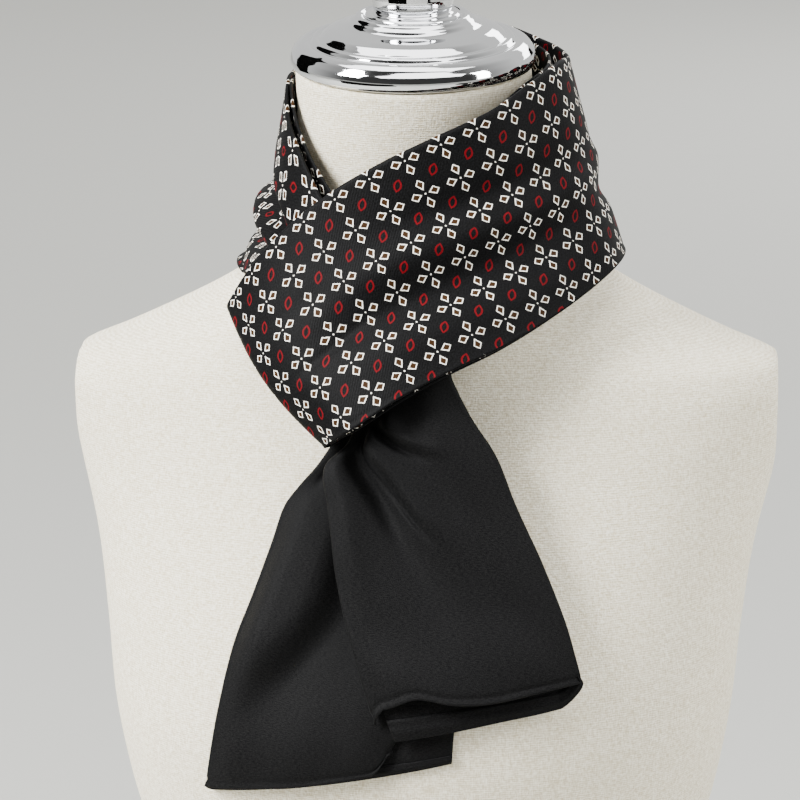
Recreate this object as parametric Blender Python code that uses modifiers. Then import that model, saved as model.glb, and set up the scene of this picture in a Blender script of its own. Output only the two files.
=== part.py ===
"""A long silky neck scarf drawn through its own loop, resting on a limbless dress form.

Sizes are millimetres and become metres where a mesh is made. The form faces -Y, its left side is
+X, and it stands on its flat bottom at height 0. Cloth rows are given on a clock round the upright
line through the middle of the neck cap: 0 degrees is the front, 90 the form's left side.
"""

import math

import bmesh
import bpy
import numpy as np

MM = 0.001
SEAM = 0.3  # clear space between touching pieces

# Dress form, a row per level: height, half_width, front, back, middle_x (front and back are depths
# from the cap's upright line)
FORM_LEVELS = (
    (0, 158, 100, 104, 0),
    (70, 168, 106, 114, 0),
    (150, 148, 98, 100, 0),
    (230, 121, 90, 84, 0),
    (310, 134, 108, 92, 0),
    (350, 144, 122, 97, 0),
    (390, 151, 129, 101, 0),
    (430, 155, 122, 104, 0),
    (470, 161, 106, 105, 0),
    (505, 170, 90, 104, 0),
    (530, 177, 80, 101, 0),
    (548, 178, 73.5, 98, 0),
    (557, 171, 70.5, 95, 0),
    (566, 150, 68, 92.5, 0),
    (577, 126, 65, 89, 0),
    (588, 104, 61.5, 86, 0),
    (595, 92, 59.5, 83.5, 0),
    (602, 81, 57.5, 81, 0),
    (609, 71, 55, 77.5, -1),
    (618, 63.5, 51.5, 73, -2),
    (634, 58.5, 49.5, 67.5, -3),
    (665, 57, 52, 61.5, -4.5),
    (700, 56, 56, 56, -6),
)
FORM_SIDES = 44
FORM_RING_HEIGHTS = (0, 30, 70, 110, 150, 190, 230, 270, 310, 350, 390, 430, 470, 505, 530, 548, 557,
                     566, 577, 588, 595, 602, 609, 618, 634, 665)
ARMHOLE_X = 170  # flat armhole plates stand this far from the middle
NECK_X = -6  # the neck and its cap lean this far to the form's right

# Neck cap, leaning forward with the neck
CAP_HEIGHT = 700
CAP_LEAN = 7.8
CAP_UNDERSIDE = -6.0
NECK_SQUARE_FROM = 640  # above this the neck's rings lean over until they are square to the cap
TURNED_SIDES = 48
# radius, height over the rim's plane, from the knob's seat out to the rim and back to the axis
CAP_PROFILE = (
    (0, 19.6),
    (23.6, 19.6),
    (24.6, 20.2),
    (26.0, 21.0),
    (28.5, 20.5),
    (31, 18.5),
    (35, 15.8),
    (40, 14.0),
    (43, 12.6),
    (45, 10.6),
    (46.3, 9.7),
    (47.5, 10.3),
    (50, 9.5),
    (54, 7.0),
    (57, 3.5),
    (58.2, 0),
    (58.2, -3),
    (57, -5.5),
    (52, CAP_UNDERSIDE),
    (0, CAP_UNDERSIDE),
)
KNOB_PROFILE = (
    (0, 50.5),
    (8, 49.5),
    (14, 46.6),
    (17.8, 41.5),
    (19.8, 35.5),
    (19.8, 30),
    (19, 25.5),
    (18.4, 23.2),
    (19.6, 22.2),
    (21.4, 22.3),
    (22.8, 21.3),
    (22.8, 20.4),
    (22.2, 19.9),
    (0, 19.9),
)

# Cloth
WALL = 1.2
BAND_WIDTH = 101.0
FOLD_THICK = 3.8  # the front band, folded in half lengthwise, over both of its layers
LOOP_RADIUS = 5.0  # of the band's turn at the loop's left fold
LOOP_TURN = (45, 90, 128)  # degrees the band has turned there, at each row
FLAP_REACH = (7.5, 2.5)  # how far the turned-in part runs on, at the top and the low edge
HALF_ROUND = (135, 90, 45)  # the points of a lengthwise fold, from its back layer to its face

# Lengthwise creases of a ply, a row each: place across it, half width, depth as a share of the
# row's own (a negative one stands out)
PLY_CREASES = (
    (0.535, 0.065, 1.0),
    (0.665, 0.07, -0.6),
    (0.79, 0.055, 1.0),
)

# The outer ply, from the loop's fold at the front round the form's left side and the back to the
# knot. Each row is one section across the cloth, from its folded top edge to its low edge:
# top clock, radius, height, low clock, radius, height, sag inwards at mid width, depth of creases
OUTER_PLY = (
    (-58, 99, 589, -17, 108, 533, -7, 0),
    (-49.5, 94, 608.5, -9, 117, 544, -4, 0),
    (-38, 86.5, 629, 2, 114, 559, -1, 0),
    (-24, 79, 646, 14, 108, 570, 0, 0),
    (-6, 74.5, 660.5, 28, 103, 578.5, 0, 0),
    (13, 74, 672, 42.5, 101, 588, 0, 0),
    (32.5, 75.5, 682.5, 57.5, 101, 597.5, 0, 0),
    (52, 75, 694, 72.5, 103, 606, 0, 0),
    (73, 74, 702, 88, 102, 609.5, 0, 0),
    (98, 74, 701.5, 107, 98, 609, 0, 0),
    (127, 76, 705, 132, 95, 608, -1, 0),
    (160, 76, 713, 160, 94, 608, -1, 0),
    (192, 72, 711, 188, 92, 606, 0, 1),
    (222, 66, 703, 218, 91, 603, 1, 3),
    (252, 61.5, 694, 245, 90, 600, 2, 5),
    (276, 60.5, 688, 270, 84, 598, 3, 6),
    (293, 62.5, 675, 284, 83, 599, 3, 6),
    (310, 65, 660, 297, 84, 601, 2, 5),
    (326, 69, 642, 308, 87, 600, 1, 4),
    (345, 79, 617, 320, 91, 587, 0, 3),
    (360, 88, 595, 331, 94, 572, 0, 2),
    (374, 99, 577, 347, 98, 549, 0, 0),
)
FRONT_BAND_ROWS = (0, 9)
BACK_WRAP_ROWS = (9, 13)
LEFT_ARM_ROWS = (13, 21)

# The ply next to the form, in the same columns
INNER_PLY = (
    (-56, 82, 592, -13.5, 88, 542, 0, 0),
    (-48, 70, 605, -7, 79, 552, 0, 0),
    (-37, 61, 620, 0, 77, 560, 0, 0),
    (-26, 57, 634, 9, 78, 568, 0, 0),
    (-8, 57, 648, 22, 84, 577, 0, 0),
    (16, 58, 664, 42, 90, 587, 0, 0),
    (40, 60, 679, 60, 92, 596, 0, 0),
    (64, 62, 692, 80, 93, 602, 0, 0),
    (88, 64.5, 697.5, 94, 91, 604, 0, 0),
    (116, 67, 702, 120, 88, 604, 0, 0),
    (160, 69, 707, 160, 87, 603, 0, 0),
    (195, 65, 705, 190, 85, 601, 0, 0),
    (225, 61, 698, 220, 84, 598, 3, 0),
    (252, 59, 690, 245, 83.5, 595, 6, 0),
    (280, 59, 686, 272, 80, 595, 11, 0),
    (302, 60, 667, 288, 80, 596, 11, 0),
    (316, 61.5, 654, 299, 81, 597, 9, 0),
    (328, 64, 643, 309, 81, 595, 6, 0),
    (345, 71, 619, 321, 84, 585, 3, 0),
    (360, 80, 597, 332, 87, 570, 1, 0),
    (374, 91, 579, 347, 90, 551, 0, 0),
)
UNDER_BAND_ROWS = (0, 8)
INNER_WRAP_ROWS = (8, 12)
INNER_ARM_ROWS = (12, 20)

# Tails: each is folded lengthwise, with its turn at one side and its two free edges at the other.
# A row per level holds three places on the form's front, each as x, height, standing off the form:
# front layer's free edge, turn, back layer's free edge. Then come the place of a long valley, as a
# share of the width from the viewer's left, how far the cloth puffs out beside it, and how much
# lower the back layer is at the turn.
TAIL_RIGHT = (
    (-22, 541.5, 21.5, 17.5, 567.1, 30, -21, 541.5, 17, 0.15, 0, 0),
    (-25.5, 529, 20.5, 18, 559, 29, -24.5, 529, 15.5, 0.15, 1, 0),
    (-34.5, 517, 21, 26, 542, 26, -33, 516, 16, 0.18, 3.5, 0),
    (-33, 499, 19, 39, 522, 22, -31, 498, 14, 0.25, 4, 0),
    (-31, 485, 17, 48, 501, 18, -28, 482, 12, 0.36, 4, 0.5),
    (-29, 471, 15.5, 60, 477, 15, -24, 466, 11, 0.46, 3, 1),
    (-24, 450, 14, 69.5, 455, 13, -17, 443, 9.5, 0.52, 2, 1.5),
    (-16, 428, 13, 77, 436, 11, -8, 418, 8, 0.56, 1, 2.5),
    (-11, 417, 13, 80, 427, 10, -2, 404, 8, 0.58, 0, 3),
)
TAIL_LEFT = (
    (16, 572.6, 22.5, -28, 544.6, 14.2, 16, 570, 18, 0.5, 0, 0),
    (17, 562, 20, -32, 532, 15, 18, 560, 15, 0.5, 0, 0),
    (20, 545, 15, -40, 519, 13.5, 23, 543, 10.5, 0.48, 0, 0),
    (22, 525, 11, -49, 509, 11, 28, 523, 7, 0.46, 0, 0),
    (21, 500, 8.5, -56, 500, 9, 31, 500, 4.5, 0.42, 0, 0),
    (17, 475, 7, -62, 484, 6.5, 31, 475, 3, 0.37, 1.5, 0),
    (11, 450, 6.5, -70, 462, 5.5, 29, 450, 2, 0.29, 2, 0),
    (5, 428, 6, -78, 440, 5.5, 26, 428, 1.6, 0.21, 2, 0),
    (0, 405, 5.5, -85, 410, 5.5, 24, 409, 1.5, 0.15, 1, 0),
    (-4, 389, 5.5, -92, 372, 5.5, 23, 393, 1.5, 0.1, 0, 0),
)
TAIL_RIGHT_THICK = 5.0  # over both layers
TAIL_LEFT_THICK = 4.0
TAIL_VALLEY_HALF_WIDTH = 0.1  # as a share of the tail's width


def clear_scene():
    for obj in list(bpy.data.objects):
        bpy.data.objects.remove(obj, do_unlink=True)


def material(name, colour, roughness, metallic=0.0):
    made = bpy.data.materials.new(name)
    made.use_nodes = True
    shader = made.node_tree.nodes["Principled BSDF"]
    shader.inputs["Base Color"].default_value = (*colour, 1.0)
    shader.inputs["Roughness"].default_value = roughness
    shader.inputs["Metallic"].default_value = metallic
    return made


def through(stations, rows, at):
    """A smooth curve through the rows, which lie at the stations, read at other stations."""
    stations = np.asarray(stations, float)
    rows = np.asarray(rows, float)
    at = np.asarray(at, float)
    slopes = np.gradient(rows, stations, axis=0)
    first = np.clip(np.searchsorted(stations, at, side="right") - 1, 0, len(stations) - 2)
    step = (stations[first + 1] - stations[first])[..., None]
    part = (at - stations[first])[..., None] / step
    return (
        (2 * part**3 - 3 * part**2 + 1) * rows[first]
        + (part**3 - 2 * part**2 + part) * step * slopes[first]
        + (3 * part**2 - 2 * part**3) * rows[first + 1]
        + (part**3 - part**2) * step * slopes[first + 1]
    )


def on_clock(degrees, radius, height):
    turn = np.radians(degrees)
    return np.stack([NECK_X + radius * np.sin(turn), -radius * np.cos(turn), height], -1)


def form_level(height):
    """Half width, half depth, middle X and middle Y of the form at a height."""
    levels = np.array(FORM_LEVELS, float)
    width, front, back, middle_x = np.moveaxis(
        through(levels[:, 0], levels[:, 1:], np.clip(height, 0, CAP_HEIGHT)), -1, 0)
    return width, (front + back) / 2, middle_x, (back - front) / 2


def form_clearance(points):
    """How far points lie outside the form, and the way out of it."""

    def reach(at):
        width, depth, middle_x, middle_y = form_level(at[..., 2])
        return np.hypot((at[..., 0] - middle_x) / width, (at[..., 1] - middle_y) / depth) - 1

    half_step = 0.5
    slope = np.stack([
        (reach(points + half_step * axis) - reach(points - half_step * axis)) / (2 * half_step)
        for axis in np.eye(3)], -1)
    steepness = np.linalg.norm(slope, axis=-1, keepdims=True)
    return reach(points) / steepness[..., 0], slope / steepness


def stand_off(points, least):
    """Points nearer the form than least are moved out to it, so cloth lies on the form."""
    for _ in range(4):
        clearance, way_out = form_clearance(points)
        points = points + way_out * np.maximum(least - clearance, 0)[..., None]
    return points


def grid_mesh(name, points, ring=False):
    """A mesh from a grid of points in millimetres; with ring the last column joins the first."""
    rows, columns = points.shape[:2]
    mesh = bmesh.new()
    corners = [[mesh.verts.new(tuple(p * MM)) for p in row] for row in points]
    last = columns if ring else columns - 1
    for r in range(rows - 1):
        for c in range(last):
            nxt = (c + 1) % columns
            mesh.faces.new((corners[r][c], corners[r][nxt], corners[r + 1][nxt], corners[r + 1][c]))
    if ring:
        mesh.faces.new(list(reversed(corners[0])))
        mesh.faces.new(corners[-1])
    data = bpy.data.meshes.new(name)
    mesh.to_mesh(data)
    mesh.free()
    data.shade_smooth()
    return data


def add_object(name, data, collection, finish):
    obj = bpy.data.objects.new(name, data)
    collection.objects.link(obj)
    data.materials.append(finish)
    return obj


def cloth(name, points, collection, finish):
    """A wall of cloth whose outer face is the grid: columns across rows gives the way out."""
    obj = add_object(name, grid_mesh(name, points), collection, finish)
    wall = obj.modifiers.new("wall", "SOLIDIFY")
    wall.thickness = WALL * MM
    wall.offset = -1
    return obj


# ---- dress form ----


def form_ring(height):
    turn = np.linspace(0, 2 * math.pi, FORM_SIDES, endpoint=False)
    width, depth, middle_x, middle_y = form_level(np.array(float(height)))
    x = middle_x + width * np.sin(turn)
    y = middle_y - depth * np.cos(turn)
    share = np.clip((height - NECK_SQUARE_FROM) / (CAP_HEIGHT - NECK_SQUARE_FROM), 0, 1)
    z = height + y * math.tan(math.radians(CAP_LEAN)) * share
    return np.stack([x, y, z], -1)


def dress_form(collection, cutters, finish):
    neck_top = CAP_HEIGHT + (CAP_UNDERSIDE - SEAM) / math.cos(math.radians(CAP_LEAN))
    top_ring = form_ring(CAP_HEIGHT)
    top_ring[:, 2] += neck_top - CAP_HEIGHT
    rings = np.array([form_ring(h) for h in FORM_RING_HEIGHTS] + [top_ring])
    obj = add_object("dress_form", grid_mesh("dress_form", rings, ring=True), collection, finish)
    bpy.ops.mesh.primitive_cube_add(size=1, location=(0, 0, CAP_HEIGHT * MM / 2))
    box = bpy.context.object
    box.name = "armhole_planes"
    box.scale = (2 * ARMHOLE_X * MM, 1, 1)
    box.hide_render = True
    box.display_type = "WIRE"
    bpy.context.collection.objects.unlink(box)
    cutters.objects.link(box)
    cut = obj.modifiers.new("armholes", "BOOLEAN")
    cut.operation = "INTERSECT"
    cut.solver = "EXACT"
    cut.object = box
    return obj


def turned(name, profile, collection, finish):
    data = bpy.data.meshes.new(name)
    points = [(radius * MM, 0, height * MM) for radius, height in profile]
    data.from_pydata(points, [(i, i + 1) for i in range(len(points) - 1)], [])
    obj = add_object(name, data, collection, finish)
    obj.location = (NECK_X * MM, 0, CAP_HEIGHT * MM)
    obj.rotation_euler = (math.radians(CAP_LEAN), 0, 0)
    screw = obj.modifiers.new("turn", "SCREW")
    screw.steps = TURNED_SIDES
    screw.render_steps = TURNED_SIDES
    screw.use_merge_vertices = True
    screw.merge_threshold = 1e-5
    screw.use_smooth_shade = True
    return obj


# ---- plies round the neck ----


def ply_rows(table):
    """Edge points, sag and crease depth of each row, and the rows' places along the cloth."""
    columns = np.array(table, float).T
    top = on_clock(columns[0], columns[1], columns[2])
    low = on_clock(columns[3], columns[4], columns[5])
    middle = (top + low) / 2
    steps = np.linalg.norm(np.diff(middle, axis=0), axis=1)
    along = np.concatenate([[0], np.cumsum(steps)])
    return np.concatenate([columns.T, along[:, None]], 1)


def valley(across, middle, half_width):
    return np.exp(-(((across - middle) / half_width) ** 2))


def ply_face(table, rows, stations, across, least, starts_after=4 * SEAM):
    """The grid of a ply's face between two rows of its table: top edge at 0 across, low edge at 1."""
    sections = ply_rows(table)
    ends = sections[list(rows), 8]
    at = np.linspace(ends[0] + starts_after, ends[1], stations)
    read = through(sections[:, 8], sections[:, :8], at)
    top = on_clock(read[:, 0], read[:, 1], read[:, 2])[:, None]
    low = on_clock(read[:, 3], read[:, 4], read[:, 5])[:, None]
    across = np.asarray(across, float)
    face = top + (low - top) * across[None, :, None]
    sag = read[:, 6, None] * np.sin(math.pi * across)[None]
    folds = sum(depth * valley(across, middle, half_width) for middle, half_width, depth in PLY_CREASES)
    creases = read[:, 7, None] * folds[None]
    face = face - outward(face) * (sag + creases)[..., None]
    return stand_off(face, least)


def outward(grid):
    """Unit normals of a grid that runs forward on the clock along it and down across it."""
    normal = np.cross(np.gradient(grid, axis=1), np.gradient(grid, axis=0))
    return normal / np.linalg.norm(normal, axis=-1, keepdims=True)


def folded(face, normal, thick, back_columns):
    """A face with a second layer behind it, joined to it by a round turn at its top edge."""
    up = face[:, 0] - face[:, 1]
    up /= np.linalg.norm(up, axis=-1, keepdims=True)
    half = thick / 2
    turn = [
        face[:, 0] - normal[:, 0] * half * (1 - math.cos(a)) + up * half * math.sin(a)
        for a in np.radians(HALF_ROUND)
    ]
    back = face - normal * thick
    back_rows = [back[:, i] for i in reversed(back_columns)]
    return np.stack(back_rows + turn + [face[:, i] for i in range(face.shape[1])], 1)


def front_band(collection, finish):
    across = np.linspace(FOLD_THICK / 2 / BAND_WIDTH, 1, 8)
    face = ply_face(OUTER_PLY, FRONT_BAND_ROWS, 27, across, 6, starts_after=LOOP_RADIUS / 2)
    normal = outward(face)
    away = face[0] - face[1]
    away /= np.linalg.norm(away, axis=-1, keepdims=True)
    turned_in = []
    turned_normals = []
    for a in np.radians(LOOP_TURN):
        turned_in.append(face[0] + LOOP_RADIUS * (away * math.sin(a) - normal[0] * (1 - math.cos(a))))
        turned_normals.append(normal[0] * math.cos(a) + away * math.sin(a))
    heading = away * math.cos(a) - normal[0] * math.sin(a)
    reach = np.linspace(FLAP_REACH[0], FLAP_REACH[1], len(across))[:, None]
    turned_in.append(turned_in[-1] + heading * reach)
    turned_normals.append(turned_normals[-1])
    face = np.concatenate([np.stack(turned_in[::-1]), face])
    normal = np.concatenate([np.stack(turned_normals[::-1]), normal])
    grid = folded(face, normal, FOLD_THICK, (0, 2, 4, 7))
    return cloth("front_band", grid, collection, finish)


# ---- tails ----


def laid(flat):
    """Points on the form's front from x, height and how far they stand off it."""
    x, height, off = np.moveaxis(flat, -1, 0)
    width, depth, middle_x, middle_y = form_level(height)
    y = middle_y - depth * np.sqrt(1 - ((x - middle_x) / width) ** 2)
    feet = np.stack([x, y, height], -1)
    return feet + form_clearance(feet)[1] * off[..., None]


def tail_grid(table, turn_side, thick, stations, share):
    """The U of a tail's two layers; turn_side is +1 with the turn at the viewer's right, else -1."""
    rows = np.array(table, float)
    steps = np.linalg.norm(np.diff((rows[:, 0:3] + rows[:, 3:6]) / 2, axis=0), axis=1)
    along = np.concatenate([[0], np.cumsum(steps)])
    read = through(along, rows, np.linspace(0, along[-1], stations))
    free, turn, back_free = read[:, 0:3], read[:, 3:6].copy(), read[:, 6:9]
    radius = thick / 2
    turn[:, 0] -= turn_side * radius
    back_turn = turn - np.stack([0 * turn[:, 0], read[:, 11], 0 * turn[:, 0] + thick], -1)
    share = np.asarray(share, float)
    front = turn[:, None] + (free - turn)[:, None] * share[None, :, None]
    back = back_turn[:, None] + (back_free - back_turn)[:, None] * share[None, :, None]
    from_left = 1 - share if turn_side > 0 else share
    beside = 1 - valley(from_left[None], read[:, 9, None], TAIL_VALLEY_HALF_WIDTH)
    puff = read[:, 10, None] * beside * np.sin(np.clip(share / 0.3, 0, 1) * math.pi / 2)[None]
    front[..., 2] += puff
    back[..., 2] += puff
    bend = []
    for a in np.radians(HALF_ROUND):
        shift = np.stack([
            0 * turn[:, 0] + turn_side * radius * math.sin(a),
            -read[:, 11] * (1 - math.cos(a)) / 2,
            0 * turn[:, 0] - radius * (1 - math.cos(a))], -1)
        bend.append((turn + shift)[:, None])
    flat = np.concatenate([back[:, ::-1]] + bend + [front], 1)
    return laid(flat if turn_side > 0 else flat[:, ::-1])


def main():
    clear_scene()
    scarf = bpy.data.collections.new("neck scarf on dress form")
    cutters = bpy.data.collections.new("cutters")
    for collection in (scarf, cutters):
        bpy.context.scene.collection.children.link(collection)
    cutters.hide_render = True
    linen = material("linen", (0.74, 0.70, 0.60), 0.85)
    chrome = material("chrome", (0.9, 0.9, 0.9), 0.06, 1.0)
    printed = material("printed satin", (0.012, 0.012, 0.013), 0.5)
    plain = material("plain satin", (0.013, 0.013, 0.014), 0.55)
    dress_form(scarf, cutters, linen)
    turned("neck_cap", CAP_PROFILE, scarf, chrome)
    turned("cap_knob", KNOB_PROFILE, scarf, chrome)
    front_band(scarf, printed)
    even = np.linspace(0, 1, 6)
    creased = (0, 0.2, 0.38, 0.46, 0.535, 0.61, 0.7, 0.745, 0.79, 0.835, 0.9, 1.0)
    for name, table, rows, stations, across, least in (
        ("back_wrap", OUTER_PLY, BACK_WRAP_ROWS, 12, creased, 5),
        ("left_arm", OUTER_PLY, LEFT_ARM_ROWS, 24, creased, 5.2),
        ("under_band", INNER_PLY, UNDER_BAND_ROWS, 20, even, 2.2),
        ("inner_wrap", INNER_PLY, INNER_WRAP_ROWS, 12, even, 2.2),
        ("inner_arm", INNER_PLY, INNER_ARM_ROWS, 20, even, 2.2),
    ):
        cloth(name, ply_face(table, rows, stations, across, least), scarf, printed)
    share = (0, 0.1, 0.2, 0.3, 0.4, 0.5, 0.6, 0.7, 0.78, 0.85, 0.92, 1)
    cloth("tail_right", tail_grid(TAIL_RIGHT, 1, TAIL_RIGHT_THICK, 17, share), scarf, plain)
    share = (0, 0.07, 0.15, 0.25, 0.37, 0.5, 0.65, 0.8, 1)
    cloth("tail_left", tail_grid(TAIL_LEFT, -1, TAIL_LEFT_THICK, 17, share), scarf, plain)


main()
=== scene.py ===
# A printed satin neck scarf drawn through its own loop, on a linen dress form with a chrome neck
# cap. Lengths are in millimetres in the dictionaries and become metres in the meshes. The studio's
# lengths are in metres. "Share" is always a part of a whole, from 0 to 1.

import math

import bmesh
import bpy
import numpy as np
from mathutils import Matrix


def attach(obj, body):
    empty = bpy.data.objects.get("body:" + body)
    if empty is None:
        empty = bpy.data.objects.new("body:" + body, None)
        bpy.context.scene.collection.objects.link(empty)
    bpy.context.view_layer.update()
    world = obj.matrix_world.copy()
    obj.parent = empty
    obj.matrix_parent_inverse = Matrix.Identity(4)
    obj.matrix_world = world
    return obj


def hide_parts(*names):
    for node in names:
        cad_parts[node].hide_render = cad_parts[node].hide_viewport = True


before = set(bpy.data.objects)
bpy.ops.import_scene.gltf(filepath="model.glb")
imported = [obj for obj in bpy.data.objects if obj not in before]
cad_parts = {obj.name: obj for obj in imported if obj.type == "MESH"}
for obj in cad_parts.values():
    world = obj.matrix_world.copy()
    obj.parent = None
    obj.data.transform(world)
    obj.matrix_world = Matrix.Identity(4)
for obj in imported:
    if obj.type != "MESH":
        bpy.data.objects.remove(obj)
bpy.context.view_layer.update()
mm = 0.001
weldWithin = 1e-7  # metres
print("frame loaded")


def through(stations, rows, at):
    # cubic Hermite curve through the rows, each slope being the finite difference of its neighbours
    stations, rows, at = (np.asarray(part, float) for part in (stations, rows, at))
    slopes = np.gradient(rows, stations, axis=0)
    first = np.clip(np.searchsorted(stations, at, side="right") - 1, 0, len(stations) - 2)
    step = (stations[first + 1] - stations[first])[..., None]
    t = (at - stations[first])[..., None] / step
    start = (2 * t**3 - 3 * t**2 + 1) * rows[first] + (t**3 - 2 * t**2 + t) * step * slopes[first]
    end = (3 * t**2 - 2 * t**3) * rows[first + 1] + (t**3 - t**2) * step * slopes[first + 1]
    return start + end


def walkedLength(points):
    # the running sum of the steps from point to point
    return np.concatenate([[0], np.cumsum(np.linalg.norm(np.diff(points, axis=0), axis=1))])


def bump(value, middle, halfWidth):
    # a bell: 1 at the middle, falling as e to the minus square of the distance in half widths
    return np.exp(-((value - middle) / halfWidth) ** 2)


def smoothStep(value, low, high):
    # 0 below low, 1 above high, an S of 3t squared minus 2t cubed between them
    t = np.clip((value - low) / (high - low), 0, 1)
    return t * t * (3 - 2 * t)


def fadeBetween(value, low, full, falling, gone):
    # an S up from low to full, and an S down from falling to gone
    return smoothStep(value, low, full) * (1 - smoothStep(value, falling, gone))


def unit(vectors):
    # each vector over its own length, which is kept above zero
    return vectors / np.maximum(np.linalg.norm(vectors, axis=-1, keepdims=True), 1e-9)


def outward(grid):
    # cross product of the step across the cloth and the step along it
    return unit(np.cross(np.gradient(grid, axis=1), np.gradient(grid, axis=0)))


def gridPiece(name, points, material, uv=None, closed=False, wall=0.0, threadAndShadeShare=None):
    # quads between neighbouring points of the grid; closed joins the last column to the first and
    # draws each end ring in to a single point; threadAndShadeShare becomes the attribute that bares
    # the hems, black strips that are partly hem thread and partly painted shade under the hem's
    # edge
    rows, columns = points.shape[:2]
    index = np.arange(rows * columns).reshape(rows, columns)
    nextIndex = np.roll(index, -1, axis=1) if closed else index[:, 1:]
    here = index if closed else index[:, :-1]
    quads = np.stack([here[:-1], nextIndex[:-1], nextIndex[1:], here[1:]], -1).reshape(-1, 4)
    mesh = bpy.data.meshes.new(name)
    if closed:
        first, last = points[0], points[-1]
        poles = [(0 * ring + ring.mean(0))[None] for ring in (first, last)]
        points = np.concatenate([poles[0], points[1:-1], poles[1]])
    mesh.from_pydata((points.reshape(-1, 3) * mm).tolist(), [], quads.tolist())
    if closed:
        welded = bmesh.new()
        welded.from_mesh(mesh)
        bmesh.ops.remove_doubles(welded, verts=welded.verts, dist=weldWithin)
        welded.to_mesh(mesh)
        welded.free()
    # the hem attribute is 1 on the black edge strips, partly hem thread and partly painted shade
    if threadAndShadeShare is not None:
        mesh.attributes.new("hem", "FLOAT", "POINT").data.foreach_set("value", threadAndShadeShare.ravel())
    if uv is not None:
        layer = mesh.uv_layers.new(name="cloth")
        layer.data.foreach_set("uv", uv.reshape(-1, 2)[quads.ravel()].ravel())
    mesh.materials.append(material)
    mesh.shade_smooth()
    piece = bpy.data.objects.new(name, mesh)
    bpy.context.scene.collection.objects.link(piece)
    if wall:
        thicken = piece.modifiers.new("cloth wall", "SOLIDIFY")
        thicken.thickness = wall * mm
        thicken.offset = -1
    return piece


def linear(hexColour):
    # sRGB hex to linear red, green, blue and alpha
    parts = [int(hexColour[i:i + 2], 16) / 255 for i in (1, 3, 5)]
    return (*(p / 12.92 if p <= 0.04045 else ((p + 0.055) / 1.055) ** 2.4 for p in parts), 1.0)


def addNode(tree, kind, inputs=None, **settings):
    # one node with its settings; inputs maps a socket to a value or to an output it is linked from.
    # Sockets go by number where a node's share a name, as a Mix's colours do: 6, 7 and output 2
    made = tree.nodes.new(kind)
    for name, value in settings.items():
        setattr(made, name, value)
    for socket, value in (inputs or {}).items():
        if isinstance(value, bpy.types.NodeSocket):
            tree.links.new(value, made.inputs[socket])
        else:
            made.inputs[socket].default_value = value
    return made


def addNoise(tree, place, scale, detail):
    # smooth noise about a half, with scale grains to each unit of the place
    return addNode(tree, "ShaderNodeTexNoise", {
        "Vector": place, "Scale": scale, "Detail": detail}).outputs["Fac"]


def addRelief(chart, tree, shader, height):
    # the pattern's height raises the surface by the chart's strength and distance in metres
    strength, distance = chart["relief"]
    relief = addNode(tree, "ShaderNodeBump", {
        "Strength": strength, "Distance": distance, "Height": height})
    tree.links.new(relief.outputs[0], shader.inputs["Normal"])


def newMaterial(name, **sockets):
    # a material, its node tree and its shader, with the named sockets set
    material = bpy.data.materials.new(name)
    material.use_nodes = True
    shader = material.node_tree.nodes["Principled BSDF"]
    for socket, value in sockets.items():
        shader.inputs[socket.replace("_", " ")].default_value = value
    return material, material.node_tree, shader


dressForm = dict(
    # height, half width, front, back, middle x: depths are from the upright line of the cap
    rows=(
        (0, 158, 100, 104, 0),
        (70, 168, 106, 114, 0),
        (150, 148, 98, 100, 0),
        (230, 121, 90, 84, 0),
        (310, 134, 108, 92, 0),
        (350, 144, 122, 97, 0),
        (390, 151, 129, 101, 0),
        (430, 155, 122, 104, 0),
        (470, 161, 106, 105, 0),
        (505, 170, 90, 104, 0),
        (530, 177, 80, 101, 0),
        (548, 178, 73.5, 98, 0),
        (557, 171, 70.5, 95, 0),
        (566, 150, 68, 92.5, 0),
        (577, 126, 65, 89, 0),
        (588, 104, 61.5, 86, 0),
        (595, 92, 59.5, 83.5, 0),
        (602, 81, 57.5, 81, 0),
        (609, 71, 55, 77.5, -1),
        (618, 63.5, 51.5, 73, -2),
        (634, 58.5, 49.5, 67.5, -3),
        (665, 57, 52, 61.5, -4.5),
        (700, 56, 56, 56, -6),
    ),
    armholeX=170,
    rimRound=0.9,
    leansFrom=640,  # the neck's levels begin to lean here, and lean as the cap does at its top
    lidRings=(0.97, 0.5, 0.001),  # share of the end's radius
    ringCount=220,
    sideCount=180,
    slopeStep=0.5,  # each way, where the slope away from it is measured
    settleRounds=4,
)
cap = dict(
    height=700,
    middleX=-6,
    lean=7.8,
    underside=-3.6,
    seam=0.3,
    stepCount=144,
    walkCount=300,
    easeReach=4,  # steps on each side that a corner is eased over
    easeWidth=1.8,
    axisRadius=0.02,
    # radius and height over the rim's plane, from the axis over the top to the axis underneath
    profile=(
        (0, 19.6), (23.6, 19.6), (24.4, 21), (25.8, 21.6), (27.2, 21), (28.2, 19.6), (29.2, 19.2),
        (30.6, 17.4), (33.4, 16.2), (37.4, 15.2), (41.2, 13.6), (43.8, 11.4), (44.8, 10.2),
        (45.8, 10.8), (47.2, 10.8), (48.4, 9.4), (49, 8.4), (50.4, 9), (52.6, 8.9), (55.4, 7.2),
        (57.6, 4.2), (58.4, 1.2), (58.2, -1), (57.2, -3), (52, -3.6), (0, -3.6),
    ),
    knobProfile=(
        (0, 50.5), (8, 49.5), (14, 46.6), (17.8, 41.5), (19.8, 35.5), (19.8, 30), (19, 25.5),
        (18.4, 23.2), (19.6, 22.2), (21.4, 22.3), (22.8, 21.3), (22.8, 20.4), (22.2, 19.9),
        (0, 19.9),
    ),
)


def formLevel(height):
    # the ellipse at a height: half width, half depth, and the x and y of its middle
    levels = np.array(dressForm["rows"], float)
    read = through(levels[:, 0], levels[:, 1:], np.clip(height, 0, cap["height"]))
    width, front, back, middleX = np.moveaxis(read, -1, 0)
    return width, (front + back) / 2, middleX, (back - front) / 2


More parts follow.
